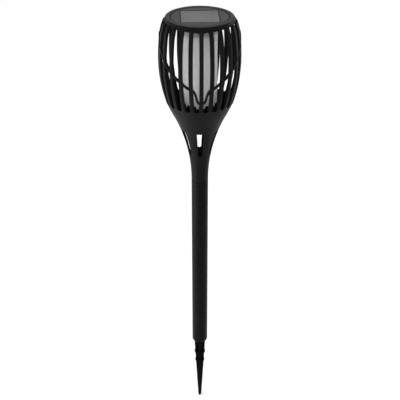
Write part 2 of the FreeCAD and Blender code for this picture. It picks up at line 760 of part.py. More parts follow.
def lead(points, radius):
    """A round wire along straight runs joined by tangent arcs."""
    edges = []
    start = points[0]
    for before, corner, after in zip(points, points[1:], points[2:]):
        inward = (before - corner).normalize()
        onward = (after - corner).normalize()
        shorter = min((before - corner).Length, (after - corner).Length)
        back = 0.45 * shorter
        arc_start = corner + inward * back
        arc_end = corner + onward * back
        turn = math.pi - inward.getAngle(onward)
        bend = back / math.tan(turn / 2)
        bisector = (inward + onward).normalize()
        centre = corner + bisector * (bend / math.cos(turn / 2))
        middle = centre - bisector * bend
        edges.append(Part.LineSegment(start, arc_start).toShape())
        edges.append(Part.Arc(arc_start, middle, arc_end).toShape())
        start = arc_end
    edges.append(Part.LineSegment(start, points[-1]).toShape())
    path = Part.Wire(edges)
    direction = points[1] - points[0]
    section = Part.Wire(Part.makeCircle(radius, points[0], direction))
    return path.makePipeShell([section], True, False)


LEAD_ROUTES = {
    "cell_leads": [
        [(-3, 10, 711.8), (-3, 10, 706.6), (-3, 13.5, 706.0), (-3, 14, 708.6)],
        [(3, 10, 711.8), (3, 10, 706.6), (3, 13.5, 706.0), (3, 14, 708.6)]],
    "battery_leads": [
        [(0, 4, 688.7), (0, 5, 698), (-2, 8, 706.4), (-7, 12.5, 706.2), (-7.5, 13, 708.6)],
        [(0, -10.35, 612.8), (0, -10.35, 696), (-3, -6, 703.6), (-7, 4, 706.6), (-11.5, 13, 706.2),
         (-12, 14, 708.6)]],
    "led_leads": [
        [(6, -9, 706), (7.5, 0, 706.6), (8, 9, 706.6), (8, 12.5, 706.2), (8, 13, 708.6)],
        [(10, -6, 706), (11, 1, 706.6), (12, 9, 706.6), (12, 12.5, 706.2), (12, 13, 708.6)]],
}


def make_leads():
    for label, routes in LEAD_ROUTES.items():
        tubes = [lead([FreeCAD.Vector(*point) for point in route], number("wire_radius"))
                 for route in routes]
        feature = doc.addObject("Part::Feature", f"{label}_tubes")
        feature.Shape = Part.makeCompound(tubes)
        finished(feature, label)


# ---------------------------------------------------------------- build, check and write

make_stake()
make_poles()
make_funnel()
make_cage_ring()
make_ribs()
make_flame_outline()
make_lid()
make_panel()
make_seal()
make_housing()
make_screws()
make_board()
make_switch()
make_diffuser()
make_diffuser_base()
make_light_core()
make_leds()
make_battery()
make_battery_spring()
make_leads()
doc.recompute()

for item in doc.Objects:
    if "Invalid" in item.State or "Error" in item.State:
        raise RuntimeError(f"{item.Label} failed: {item.State}")
for piece in pieces:
    if piece.Shape.isNull() or not piece.Shape.isValid():
        raise RuntimeError(f"{piece.Label} has no valid shape")

os.makedirs("parts", exist_ok=True)
for piece in pieces:
    piece.Shape.exportStep(f"parts/{piece.Label}.step")
    print(f"{piece.Label}: {len(piece.Shape.Solids)} solids, {piece.Shape.Volume:.0f} mm3")
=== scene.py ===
import math
from collections import namedtuple

import bmesh
import bpy
from mathutils import Matrix, Vector


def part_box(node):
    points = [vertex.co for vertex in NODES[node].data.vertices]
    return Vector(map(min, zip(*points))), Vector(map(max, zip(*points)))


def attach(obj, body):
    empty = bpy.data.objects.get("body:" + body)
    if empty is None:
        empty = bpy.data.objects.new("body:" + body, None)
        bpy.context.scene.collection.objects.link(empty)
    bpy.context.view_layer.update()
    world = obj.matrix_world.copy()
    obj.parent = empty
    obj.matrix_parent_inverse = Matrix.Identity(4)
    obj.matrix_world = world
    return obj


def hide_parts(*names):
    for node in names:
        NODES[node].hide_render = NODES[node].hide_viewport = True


# A black plastic solar torch: a ribbed cage and slotted funnel on a two-part pole and a ground stake.
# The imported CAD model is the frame. The main places and sizes are read from its boxes, and the finer
# ones are named in the section that uses them. Everything is in metres.

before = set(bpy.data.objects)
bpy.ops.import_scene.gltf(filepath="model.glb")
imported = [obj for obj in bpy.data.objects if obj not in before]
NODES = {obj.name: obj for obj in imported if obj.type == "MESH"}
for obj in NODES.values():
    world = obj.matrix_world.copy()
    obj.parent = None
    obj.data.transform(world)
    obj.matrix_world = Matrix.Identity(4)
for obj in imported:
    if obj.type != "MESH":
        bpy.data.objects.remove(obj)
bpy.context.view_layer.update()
MM = 0.001
HAIR = 1e-9                    # slack for comparing two sizes or angles


def top_of(node):
    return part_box(node)[1].z


def foot_of(node):
    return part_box(node)[0].z


def radius_of(node):
    low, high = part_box(node)
    return (high.x - low.x) / 2


LID_PLANE = top_of("cell_laminate") + 0.2 * MM      # the laminate lies just below the lid's plate
RING_TOP = top_of("cage_ring")
RING_RADIUS = radius_of("cage_ring")
RIM = top_of("funnel")
SPIGOT = 34 * MM                # how far a tube's spigot stands in the part above
NECK = top_of("pole_upper") - SPIGOT
POLE_JOINT = top_of("pole_lower") - SPIGOT
POLE_FOOT = foot_of("pole_lower")
POLE_RADIUS = radius_of("pole_lower")
CAGE_RADIUS = radius_of("cage_ribs")
CAGE_MIDDLE = RIM + 63.5 * MM


# ------------------------------------------------------------------ camera, light and floor

CAMERA_DISTANCE = 1.1085      # from the torch's axis, along the floor
CAMERA_RISE = 0.3511          # above the lid's plate
CAMERA_PITCH = 30.36          # degrees down
CAMERA_TURN = -2.4            # degrees round the torch, from straight in front
CAMERA_SIDE = 0.0003          # to the right of the axis
LENS = 72.9                   # millimetres, on a 36 mm sensor


def make_camera():
    data = bpy.data.cameras.new("camera")
    data.lens = LENS
    data.sensor_width = 36.0
    data.clip_end = 50.0
    camera = bpy.data.objects.new("camera", data)
    bpy.context.scene.collection.objects.link(camera)
    turn = math.radians(CAMERA_TURN)
    camera.location = (CAMERA_DISTANCE * math.sin(turn) + CAMERA_SIDE,
                       -CAMERA_DISTANCE * math.cos(turn), LID_PLANE + CAMERA_RISE)
    camera.rotation_euler = (math.radians(90 - CAMERA_PITCH), 0, turn)
    bpy.context.scene.camera = camera


HEAD_TARGET = (0, 0, 0.5)
POLE_TARGET = (0, 0, 0.21)
AREA_LIGHTS = (               # name, place, target, width, height, watts
    ("side_box", (-1.5, 0.25, 0.75), HEAD_TARGET, 2.0, 1.7, 6),
    ("low_box", (-0.46, -0.16, 0.21), POLE_TARGET, 0.5, 0.4, 1.5),
    ("right_box", (1.9, 0.9, 0.8), HEAD_TARGET, 0.8, 1.6, 9),
)
SUN_STRENGTH = 2.95
SUN_SPREAD = 70               # degrees
SUN_TILT = (34, -6)           # degrees about X and about Y
WORLD_STRENGTH = 0.30
FLOOR_SIDE = 40
FLOOR_GREY = 0.93
FLOOR_ROUGHNESS = 0.9


def area_light(name, place, target, width, height, watts):
    data = bpy.data.lights.new(name, "AREA")
    data.shape = "RECTANGLE"
    data.size = width
    data.size_y = height
    data.energy = watts
    light = bpy.data.objects.new(name, data)
    light.location = place
    light.rotation_euler = (Vector(target) - Vector(place)).to_track_quat("-Z", "Y").to_euler()
    bpy.context.scene.collection.objects.link(light)


def make_sun():
    data = bpy.data.lights.new("sky_glow", "SUN")
    data.energy = SUN_STRENGTH
    data.angle = math.radians(SUN_SPREAD)
    sun = bpy.data.objects.new("sky_glow", data)
    sun.rotation_euler = (math.radians(SUN_TILT[0]), math.radians(SUN_TILT[1]), 0)
    bpy.context.scene.collection.objects.link(sun)


def make_world():
    world = bpy.data.worlds.new("studio")
    world.use_nodes = True
    background = world.node_tree.nodes["Background"]
    background.inputs["Color"].default_value = (1, 1, 1, 1)
    background.inputs["Strength"].default_value = WORLD_STRENGTH
    bpy.context.scene.world = world


def make_floor():
    bpy.ops.mesh.primitive_plane_add(size=FLOOR_SIDE, location=(0, 0, 0))
    floor = bpy.context.object
    floor.name = "floor"
    material = bpy.data.materials.new("floor")
    material.use_nodes = True
    shader = material.node_tree.nodes["Principled BSDF"]
    shader.inputs["Base Color"].default_value = (FLOOR_GREY, FLOOR_GREY, FLOOR_GREY, 1)
    shader.inputs["Roughness"].default_value = FLOOR_ROUGHNESS
    floor.data.materials.append(material)


def make_studio():
    for light in AREA_LIGHTS:
        area_light(*light)
    make_sun()
    make_world()
    make_floor()
    bpy.context.scene.view_settings.view_transform = "Standard"


# ------------------------------------------------------------------ materials

class Nodes:
    """A short way to write one material's nodes."""

    def __init__(self, name):
        self.material = bpy.data.materials.new(name)
        self.material.use_nodes = True
        self.tree = self.material.node_tree
        self.shader = self.tree.nodes["Principled BSDF"]
        self.place = self.add("ShaderNodeTexCoord").outputs["Object"]

    def add(self, kind, links=(), **settings):
        node = self.tree.nodes.new(kind)
        for key, value in settings.items():
            setattr(node, key, value)
        for socket, value in dict(links).items():
            self.put(node.inputs[socket], value)
        return node

    def put(self, socket, value):
        if isinstance(value, bpy.types.NodeSocket):
            self.tree.links.new(value, socket)
        else:
            socket.default_value = value

    def set(self, **values):
        for key, value in values.items():
            self.put(self.shader.inputs[key.replace("_", " ")], value)

    def stretched(self, scale):
        node = self.add("ShaderNodeMapping", {"Vector": self.place, "Scale": scale})
        return node.outputs["Vector"]

    def noise(self, scale, detail, rough, vector=None):
        node = self.add("ShaderNodeTexNoise", {
            "Vector": vector or self.place, "Scale": scale, "Detail": detail, "Roughness": rough})
        return node.outputs["Fac"]

    def cells(self, scale):
        node = self.add("ShaderNodeTexVoronoi", {"Vector": self.place, "Scale": scale})
        return node.outputs["Distance"]

    def ramp(self, value, low, high, start=0.0, end=1.0):
        """Maps value from low..high to start..end, held at the ends."""
        node = self.add("ShaderNodeMapRange", {
            "Value": value, "From Min": low, "From Max": high, "To Min": start, "To Max": end})
        return node.outputs["Result"]

    def mix(self, share, first, second):
        node = self.add("ShaderNodeMix", data_type="RGBA")
        self.put(node.inputs[0], share)
        self.put(node.inputs[6], first)
        self.put(node.inputs[7], second)
        return node.outputs[2]

    def math(self, operation, first, second=0.0):
        node = self.add("ShaderNodeMath", operation=operation)
        self.put(node.inputs[0], first)
        self.put(node.inputs[1], second)
        return node.outputs[0]

    def square_reach(self):
        """How far out a point lies, measured in squares round the axis."""
        axes = self.add("ShaderNodeSeparateXYZ", {"Vector": self.place})
        return self.math("MAXIMUM", self.math("ABSOLUTE", axes.outputs["X"]),
                         self.math("ABSOLUTE", axes.outputs["Y"]))

    def edge_share(self):
        """Near 1 on outside edges, where handling polishes and lightens the plastic."""
        geometry = self.add("ShaderNodeNewGeometry")
        return self.ramp(geometry.outputs["Pointiness"], 0.53, 0.62)

    def bump(self, height, depth):
        links = {"Height": height, "Distance": depth, "Strength": 1.0}
        return self.add("ShaderNodeBump", links).outputs["Normal"]


def grey(value, warm=0.0):
    return (value * (1 + warm), value, value * (1 - warm), 1)


FINE_RELIEF = 0.02 * MM       # depth of a fine surface grain
PLASTIC_WARMTH = 0.02


def moulded_plastic(name, dark, light, rough, gloss=0.045, wear=0.5):
    """Injection-moulded plastic: spark-eroded grain, flow shading, faint scuffs and dusty specks."""
    n = Nodes(name)
    flow = n.noise(28.0, 4.0, 0.6, n.stretched((1, 1, 0.35)))
    fine = n.noise(2600.0, 2.0, 0.5)
    scuffs = n.noise(420.0, 5.0, 0.7, n.stretched((1, 1, 0.08)))
    specks = n.ramp(n.noise(900.0, 2.0, 0.4), 0.70, 0.78)
    colour = n.mix(n.ramp(flow, 0.3, 0.7), grey(dark, PLASTIC_WARMTH), grey(light, PLASTIC_WARMTH))
    colour = n.mix(n.math("MULTIPLY", specks, 0.30), colour, grey(0.16, 0.04))
    worn = n.math("MULTIPLY", n.edge_share(), n.math("MULTIPLY", n.ramp(scuffs, 0.45, 0.65), wear))
    colour = n.mix(worn, colour, grey(light * 2.1, PLASTIC_WARMTH))
    roughness = n.math("ADD", n.ramp(flow, 0.25, 0.75, rough - 0.05, rough + 0.05),
                       n.ramp(scuffs, 0.55, 0.75, 0.0, 0.10))
    height = n.math("ADD", fine, n.math("MULTIPLY", n.ramp(scuffs, 0.6, 0.7), 0.4))
    n.set(Base_Color=colour, Roughness=roughness, Specular_IOR_Level=gloss,
          Normal=n.bump(height, FINE_RELIEF))
    return n.material


def lid_plate_plastic(name):
    """The lid's textured field: a leather-like grain with dust in it, and a painted shade line round the
    cell.
    """
    n = Nodes(name)
    grain = n.cells(1500.0)
    dust = n.noise(60.0, 5.0, 0.65)
    colour = n.mix(n.ramp(dust, 0.35, 0.7), grey(0.034, 0.03), grey(0.056, 0.05))
    colour = n.mix(n.math("MULTIPLY", n.ramp(grain, 0.1, 0.5), 0.35), colour, grey(0.075, 0.05))
    # Painted shade: the plate goes near-black in a band round the cell's opening, for the shadow in the
    # gap there.
    shade_line_edge = CELL_OPENING + SHADE_LINE_WIDTH
    colour = n.mix(n.ramp(n.square_reach(), shade_line_edge, shade_line_edge + SHADE_LINE_FADE), grey(0.012), colour)
    n.set(Base_Color=colour, Roughness=n.ramp(dust, 0.3, 0.7, 0.46, 0.60),
          Normal=n.bump(grain, 0.06 * MM))
    return n.material


CELL_FINGER_PITCH = 2.0 * MM
CELL_BUS_OFFSET = 12.5 * MM   # each bus bar's middle, from the cell's middle
CELL_BUS_HALF = 0.55 * MM
CELL_BORDER = 1.2 * MM
SILVER = (0.20, 0.19, 0.20, 1)


def silicon(name):
    """Polycrystalline cell: angular grains, fine silver fingers, two bus bars and a pale border."""
    n = Nodes(name)
    crystals = n.add("ShaderNodeTexVoronoi", {
        "Vector": n.stretched((1, 1, 0)), "Scale": 230.0, "Randomness": 1.0}, feature="F1")
    shade = n.add("ShaderNodeSeparateColor", {"Color": crystals.outputs["Color"]}).outputs[0]
    colour = n.mix(n.ramp(shade, 0, 1), (0.040, 0.034, 0.042, 1), (0.060, 0.052, 0.062, 1))
    axes = n.add("ShaderNodeSeparateXYZ", {"Vector": n.place})
    across, along = axes.outputs["X"], axes.outputs["Y"]
    place_in_pitch = n.math("FRACT", n.math("DIVIDE", along, CELL_FINGER_PITCH))
    finger = n.math("ABSOLUTE", n.math("SUBTRACT", place_in_pitch, 0.5))
    fingers = n.ramp(finger, 0.045, 0.075, 1, 0)
    bus = n.math("ABSOLUTE", n.math("SUBTRACT", n.math("ABSOLUTE", across), CELL_BUS_OFFSET))
    buses = n.ramp(bus, CELL_BUS_HALF, CELL_BUS_HALF + 0.15 * MM, 1, 0)
    border_start = radius_of("solar_cell") - CELL_BORDER
    border = n.ramp(n.square_reach(), border_start, border_start + 0.3 * MM)
    colour = n.mix(n.math("MULTIPLY", fingers, 0.16), colour, SILVER)
    colour = n.mix(n.math("MULTIPLY", buses, 0.20), colour, SILVER)
    colour = n.mix(n.math("MULTIPLY", border, 0.6), colour, (0.17, 0.165, 0.165, 1))
    n.set(Base_Color=colour, Roughness=n.ramp(shade, 0, 1, 0.30, 0.42), Metallic=0.2,
          Normal=n.bump(n.math("MAXIMUM", fingers, buses), FINE_RELIEF))
    return n.material


def clear_resin(name):
    """The clear layer over the cell, a little hazy and rippled."""
    n = Nodes(name)
    haze = n.noise(55.0, 4.0, 0.6)
    ripple = n.noise(160.0, 3.0, 0.5)
    n.set(Base_Color=n.mix(haze, (0.80, 0.78, 0.80, 1), (0.90, 0.89, 0.90, 1)),
          Roughness=n.ramp(haze, 0.3, 0.7, 0.16, 0.30), Alpha=n.ramp(haze, 0.3, 0.7, 0.115, 0.175),
          Normal=n.bump(ripple, 0.05 * MM))
    n.material.surface_render_method = "BLENDED"
    return n.material


def frosted(name):
    """Milky diffuser plastic, faintly yellowed in patches, with a fine matt grain."""
    n = Nodes(name)
    cloud = n.noise(26.0, 3.0, 0.55)
    grain = n.noise(1800.0, 2.0, 0.5)
    colour = n.mix(n.ramp(cloud, 0.3, 0.7), (0.60, 0.585, 0.59, 1), (0.66, 0.66, 0.665, 1))
    n.set(Base_Color=colour, Roughness=n.ramp(cloud, 0.3, 0.7, 0.42, 0.52),
          Subsurface_Weight=0.6, Subsurface_Scale=5 * MM, Normal=n.bump(grain, FINE_RELIEF))
    n.shader.inputs["Subsurface Radius"].default_value = (1.0, 0.9, 0.8)
    return n.material


def metal(name, colour, rough):
    """Plated metal with a fine brushed grain and faint stains."""
    n = Nodes(name)
    brushed = n.noise(700.0, 4.0, 0.6, n.stretched((1, 1, 0.1)))
    stain = n.noise(120.0, 4.0, 0.6)
    tint = n.mix(n.ramp(stain, 0.35, 0.75), colour, tuple(part * 0.72 for part in colour[:3]) + (1,))
    n.set(Base_Color=tint, Metallic=1.0, Roughness=n.ramp(brushed, 0.3, 0.7, rough - 0.08, rough + 0.1),
          Normal=n.bump(brushed, 0.01 * MM))
    return n.material


def coated(name, dark, light, rough, pattern_scale):
    """A printed, dipped or sleeved surface in two near colours."""
    n = Nodes(name)
    patches = n.noise(pattern_scale, 4.0, 0.6)
    fine = n.noise(pattern_scale * 20, 2.0, 0.5)
    n.set(Base_Color=n.mix(n.ramp(patches, 0.35, 0.65), dark, light),
          Roughness=n.ramp(patches, 0.3, 0.7, rough - 0.05, rough + 0.08),
          Normal=n.bump(fine, FINE_RELIEF))
    return n.material


def make_materials():
    return {
        "cage": moulded_plastic("cage_plastic", 0.0045, 0.0065, 0.42),
        "funnel": moulded_plastic("funnel_plastic", 0.0025, 0.004, 0.42, gloss=0.06),
        "pole": moulded_plastic("pole_plastic", 0.0022, 0.0034, 0.36, gloss=0.05),
        "stake": moulded_plastic("stake_plastic", 0.0006, 0.0012, 0.40, gloss=0.02, wear=0.8),
        "lid_rim": moulded_plastic("lid_plastic", 0.030, 0.040, 0.45, gloss=0.3),
        "lid_plate": lid_plate_plastic("lid_plate"),
        "housing": moulded_plastic("housing_plastic", 0.004, 0.007, 0.45),
        "silicon": silicon("silicon"),
        "laminate": clear_resin("laminate"),
        "carrier": coated("carrier", grey(0.010), grey(0.016), 0.5, 160.0),
        "diffuser": frosted("diffuser_plastic"),
        "seal": coated("seal_rubber", grey(0.012), grey(0.022), 0.72, 210.0),
        "button": coated("button_rubber", grey(0.10), grey(0.14), 0.66, 240.0),
        "board": coated("board", (0.010, 0.085, 0.035, 1), (0.018, 0.12, 0.05, 1), 0.34, 300.0),
        "chip": coated("chip", grey(0.012), grey(0.022), 0.5, 500.0),
        "contact": metal("contact_metal", (0.66, 0.62, 0.52, 1), 0.30),
        "screw": metal("screw_steel", (0.56, 0.57, 0.58, 1), 0.32),
        "core": coated("core_plastic", grey(0.66), grey(0.72), 0.45, 80.0),
        "strip": coated("strip", (0.70, 0.69, 0.63, 1), (0.78, 0.77, 0.72, 1), 0.35, 140.0),
        "led": coated("led", (0.72, 0.55, 0.18, 1), (0.82, 0.66, 0.28, 1), 0.25, 900.0),
        "battery": coated("battery_sleeve", (0.03, 0.10, 0.22, 1), (0.045, 0.14, 0.28, 1), 0.28, 90.0),
        "wire_red": coated("wire_cover", (0.30, 0.015, 0.012, 1), (0.38, 0.025, 0.02, 1), 0.42, 300.0),
    }


CAD_FINISHES = {
    "solar_cell": "silicon", "cell_laminate": "laminate", "cell_carrier": "carrier",
    "lid_seal": "seal", "lamp_housing": "housing", "housing_screws": "screw",
    "circuit_board": "board", "board_chips": "chip", "switch_body": "chip",
    "switch_button": "button", "led_core": "core", "led_strip": "strip", "leds": "led",
    "battery": "battery", "battery_contact": "contact", "battery_spring": "contact",
    "cell_leads": "wire_red", "battery_leads": "wire_red", "led_leads": "wire_red",
}


def finish_cad_nodes(materials):
    for node, key in CAD_FINISHES.items():
        data = NODES[node].data
        data.materials.clear()
        data.materials.append(materials[key])


# ------------------------------------------------------------------ mesh helpers

def new_piece(name, body, stands_for, mesh_builder, materials):
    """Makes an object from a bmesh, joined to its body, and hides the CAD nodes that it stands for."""
    mesh = bmesh.new()
    mesh_builder(mesh)
    bmesh.ops.recalc_face_normals(mesh, faces=mesh.faces)
    data = bpy.data.meshes.new(name)
    mesh.to_mesh(data)
    mesh.free()
    for polygon in data.polygons:
        polygon.use_smooth = True
    for material in materials:
        data.materials.append(material)
    piece = bpy.data.objects.new(name, data)
    bpy.context.scene.collection.objects.link(piece)
    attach(piece, body)
    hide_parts(*stands_for)
    return piece


def round_edges(piece, width):
    bevel = piece.modifiers.new("rounded_edges", "BEVEL")
    bevel.width = width
    bevel.segments = 3
    bevel.limit_method = "ANGLE"
    bevel.angle_limit = math.radians(32)
    bevel.use_clamp_overlap = True
    normals = piece.modifiers.new("even_normals", "WEIGHTED_NORMAL")
    normals.keep_sharp = True


def even_normals(piece):
    piece.modifiers.new("even_normals", "WEIGHTED_NORMAL")


def even_steps(start, end, steps):
    """Levels in even steps, from the first one after start up to end itself."""
    return [start + (end - start) * step / steps for step in range(1, steps + 1)]


def lathe(mesh, outline, segments):
    """Turns a closed outline of (radius, level) about the axis. A point on the axis stays one point."""
    rings = []
    for radius, level in outline:
        if radius < HAIR:
            rings.append([mesh.verts.new((0, 0, level))])
        else:
            rings.append([mesh.verts.new(on_axis(radius, 2 * math.pi * step / segments, level))
                          for step in range(segments)])
    for ring, following in zip(rings, rings[1:] + rings[:1]):
        if len(ring) == 1 and len(following) == 1:
            continue
        for step in range(segments):
            corners = [ring[step % len(ring)], ring[(step + 1) % len(ring)],
                       following[(step + 1) % len(following)], following[step % len(following)]]
            mesh.faces.new(list(dict.fromkeys(corners)))


def on_axis(radius, angle, level):
    """A point at a radius, an angle from the front (towards +X) and a level."""
    return (radius * math.sin(angle), -radius * math.cos(angle), level)


def rounded(corners, steps=4):
    """Replaces each (radius, level, rounding) corner of a closed outline by a short curve."""
    points = []
    for place, (radius, level, rounding) in enumerate(corners):
        here = Vector((radius, level))
        if rounding == 0:
            points.append((radius, level))
            continue
        before = Vector(corners[place - 1][:2]) - here
        after = Vector(corners[(place + 1) % len(corners)][:2]) - here
        back = rounding / math.tan(before.angle(after) / 2)
        back = min(back, 0.48 * before.length, 0.48 * after.length)
        start = here + before.normalized() * back
        end = here + after.normalized() * back
        for step in range(steps + 1):
            share = step / steps
            point = start * (1 - share) ** 2 + here * (2 * share * (1 - share)) + end * share ** 2
            points.append((point.x, point.y))
    return points


def arc_points(start, end, radius, steps):
    """Points from start up to, but not at, end on an arc that bulges to the left of the way."""
    start, end = Vector(start), Vector(end)
    chord = end - start
    left = Vector((-chord.y, chord.x)).normalized()
    depth = math.sqrt(radius ** 2 - (chord.length / 2) ** 2)
    centre = (start + end) / 2 - left * depth
    first = math.atan2(start.y - centre.y, start.x - centre.x)
    sweep = -2 * math.asin(chord.length / 2 / radius)
    return [(centre.x + radius * math.cos(first + sweep * step / steps),
             centre.y + radius * math.sin(first + sweep * step / steps)) for step in range(steps)]


def skin(mesh, rings, capped=True, closed=False):
    """Joins rings of points one after another, as a tube."""
    pairs = list(zip(rings, rings[1:]))
    if closed:
        pairs.append((rings[-1], rings[0]))
    for ring, following in pairs:
        count = len(ring)
        for step in range(count):
            mesh.faces.new((ring[step], ring[(step + 1) % count],
                            following[(step + 1) % count], following[step]))
    if capped:
        mesh.faces.new(rings[0])
        mesh.faces.new(rings[-1])


# ------------------------------------------------------------------ lines of the cage and funnel

LOWER_BOW = 209 * MM          # radius of the cage's curve below its middle
UPPER_BOW = 310 * MM          # and above it, up to the shoulder
SHOULDER = LID_PLANE - 22.6 * MM
SHOULDER_BOW = 76 * MM
RIB_CORNER = (53.1 * MM, LID_PLANE - 6.3 * MM)      # radius and level
RIB_CORNER_ROUND = 2.6 * MM
RIB_START = (RING_RADIUS - 0.8 * MM, LID_PLANE - 5.5 * MM)
FUNNEL_LINE = (37.6 * MM, 562.5 * MM)               # radius and level where the straight flare starts
FUNNEL_BOW = 243.8 * MM
FUNNEL_CURVE_FOOT = NECK + 2 * MM
FLARE_SWELL = 0.35 * MM
RIB_COUNT = 24
RIB_WIDTH = 5.9 * MM
RIB_DEPTH = 3.8 * MM
RIB_EDGE_ROUND = 0.8 * MM
RIB_FOOT = RIM - 1.0 * MM
RIB_FLARE_HEIGHT = 4.5 * MM
RIB_FLARE_WIDTH = 1.5 * MM


def bow_radius(level):
    drop = level - CAGE_MIDDLE
    bow = UPPER_BOW if drop > 0 else LOWER_BOW
    return CAGE_RADIUS - bow + math.sqrt(bow * bow - drop * drop)


def funnel_radius(level):
    """Outer radius of the funnel: a slightly swollen flare below the rim, then a hollow curve."""
    line_radius, line_level = FUNNEL_LINE
    if level >= line_level:
        share = min(1.0, (level - line_level) / (RIM - line_level))
        swell = FLARE_SWELL * math.sin(math.pi * share)
        return line_radius + (bow_radius(RIM) - line_radius) * share + swell
    if level <= FUNNEL_CURVE_FOOT:
        return POLE_RADIUS
    sweep = math.asin((line_level - FUNNEL_CURVE_FOOT) / FUNNEL_BOW)
    span = line_radius - POLE_RADIUS
    here = FUNNEL_BOW * (1 - math.sqrt(1 - ((level - FUNNEL_CURVE_FOOT) / FUNNEL_BOW) ** 2))
    full = FUNNEL_BOW * (1 - math.cos(sweep))
    return POLE_RADIUS + here * span / full


def rib_line():
    """Stations down the middle of a rib's outer face: (radius, level), from the ring to the rim."""
    shoulder = (bow_radius(SHOULDER), SHOULDER)
    stations = arc_points(RIB_START, RIB_CORNER, RIB_CORNER_ROUND, 5)
    stations += arc_points(RIB_CORNER, shoulder, SHOULDER_BOW, 8)
    stations.append(shoulder)
    stations += [(bow_radius(level), level) for level in even_steps(SHOULDER, RIB_FOOT, 34)]
    return stations


def build_ribs(mesh):
    line = rib_line()
    for rib in range(RIB_COUNT):
        turn = Matrix.Rotation(2 * math.pi * rib / RIB_COUNT, 3, "Z")
        rings = []
        for index, (radius, level) in enumerate(line):
            before = Vector(line[max(index - 1, 0)])
            after = Vector(line[min(index + 1, len(line) - 1)])
            along = (after - before).normalized()
            inward = Vector((along.y, -along.x))
            loop = []
            for across, depth in rib_section(RIB_WIDTH / 2 + rib_flare(level)):
                point = Vector((radius, level)) + inward * depth
                loop.append(mesh.verts.new(turn @ Vector((across, -point.x, point.y))))
            rings.append(loop)
        skin(mesh, rings)


def rib_flare(level):
    """Extra half width where a rib grows out of the funnel's rim, as the moulding's fillet."""
    near = max(0.0, 1 - (level - RIB_FOOT) / RIB_FLARE_HEIGHT)
    return RIB_FLARE_WIDTH * (1 - math.sqrt(max(0.0, 1 - near * near)))


def rib_section(half):
    """Rounded rectangle: (across, depth inward) round one rib's section."""
    points = []
    arc_steps = 3
    side, back = half - RIB_EDGE_ROUND, RIB_DEPTH - RIB_EDGE_ROUND
    for centre_across, centre_depth, start in (
            (side, RIB_EDGE_ROUND, -90), (side, back, 0),
            (-side, back, 90), (-side, RIB_EDGE_ROUND, 180)):
        for step in range(arc_steps + 1):
            angle = math.radians(start + 90 * step / arc_steps)
            points.append((centre_across + RIB_EDGE_ROUND * math.cos(angle),
                           centre_depth + RIB_EDGE_ROUND * math.sin(angle)))
    return points


# ------------------------------------------------------------------ funnel with slots

SLOT_TOP = 545.0 * MM
SLOT_FOOT = 502.0 * MM
SLOT_TOP_WIDTH = 11.9 * MM
SLOT_FOOT_WIDTH = 6.0 * MM
SLOT_COUNT = 6
SLOT_CORNER = 2.2 * MM        # rounding of a slot's lower corners
SLOT_TOP_CORNER = 0.5 * MM    # chamfer of its upper corners
LAND_SPREAD = 0.12            # how fast the columns spread below a slot, per unit of height
FUNNEL_WALL = 2.2 * MM
FUNNEL_FLOOR = NECK + 39 * MM
FUNNEL_FOOT = NECK + 0.4 * MM
SOCKET_WALL = 2.0 * MM
BOWL_FOOT = FUNNEL_FLOOR + 4 * MM
FLOOR_SLOPE = 0.1
COLUMNS_IN = 4                # grid columns across a slot
COLUMNS_OUT = 10              # and between two slots


def slot_half_width(level):
    share = (level - SLOT_FOOT) / (SLOT_TOP - SLOT_FOOT)
    return (SLOT_FOOT_WIDTH + (SLOT_TOP_WIDTH - SLOT_FOOT_WIDTH) * share) / 2


def funnel_levels():
    """Levels of the grid's rows from the rim to the foot, with rows at the slots' ends."""
    corner_foot = SLOT_FOOT + SLOT_CORNER
    corner_steps = 5
    levels = [RIM] + even_steps(RIM, SLOT_TOP, 10)
    levels.append(SLOT_TOP - SLOT_TOP_CORNER)
    levels += even_steps(SLOT_TOP - SLOT_TOP_CORNER, corner_foot, 10)
    levels += [SLOT_FOOT + SLOT_CORNER * (1 - math.sin(math.pi / 2 * step / corner_steps))
               for step in range(1, corner_steps + 1)]
    levels += even_steps(SLOT_FOOT, FUNNEL_FLOOR, 3)
    levels += even_steps(FUNNEL_FLOOR, FUNNEL_FOOT, 10)
    return levels


def build_funnel(mesh):
    """A closed shell of outer and inner grids, whose columns follow the edges of the open slots."""
    levels = funnel_levels()
    outer_rows, inner_rows = [], []
    for level in levels:
        radius = funnel_radius(level)
        inner = inner_radius(level, radius)
        angles = slot_columns(edge_half_width(level) / radius)
        outer_rows.append([mesh.verts.new(on_axis(radius, angle, level)) for angle in angles])
        inner_rows.append([mesh.verts.new(on_axis(inner, angle, level)) for angle in angles])
    count = len(outer_rows[0])
    open_rows = {row for row, level in enumerate(levels[:-1])
                 if levels[row + 1] >= SLOT_FOOT - HAIR and level <= SLOT_TOP + HAIR}

    def is_open(row, column):
        return row in open_rows and column % (COLUMNS_IN + COLUMNS_OUT) < COLUMNS_IN

    for row in range(len(levels) - 1):
        for column in range(count):
            if is_open(row, column):
                continue
            following = (column + 1) % count
            for rows in (outer_rows, inner_rows):
                mesh.faces.new((rows[row][column], rows[row][following],
                                rows[row + 1][following], rows[row + 1][column]))
    close_shell(mesh, outer_rows, inner_rows, is_open)


def close_shell(mesh, outer_rows, inner_rows, is_open):
    """Joins the two grids round the rim, the foot and each slot."""
    count = len(outer_rows[0])
    last = len(outer_rows) - 1

    def wall(first, second):
        (row, column), (other_row, other_column) = first, second
        mesh.faces.new((outer_rows[row][column], outer_rows[other_row][other_column],
                        inner_rows[other_row][other_column], inner_rows[row][column]))

    for column in range(count):
        following = (column + 1) % count
        wall((0, column), (0, following))
        wall((last, column), (last, following))
        for row in range(last):
            if not is_open(row, column):
                continue
            if not is_open(row - 1, column):
                wall((row, column), (row, following))
            if not is_open(row + 1, column):
                wall((row + 1, column), (row + 1, following))
            if not is_open(row, (column - 1) % count):
                wall((row, column), (row + 1, column))
            if not is_open(row, following):
                wall((row, following), (row + 1, following))


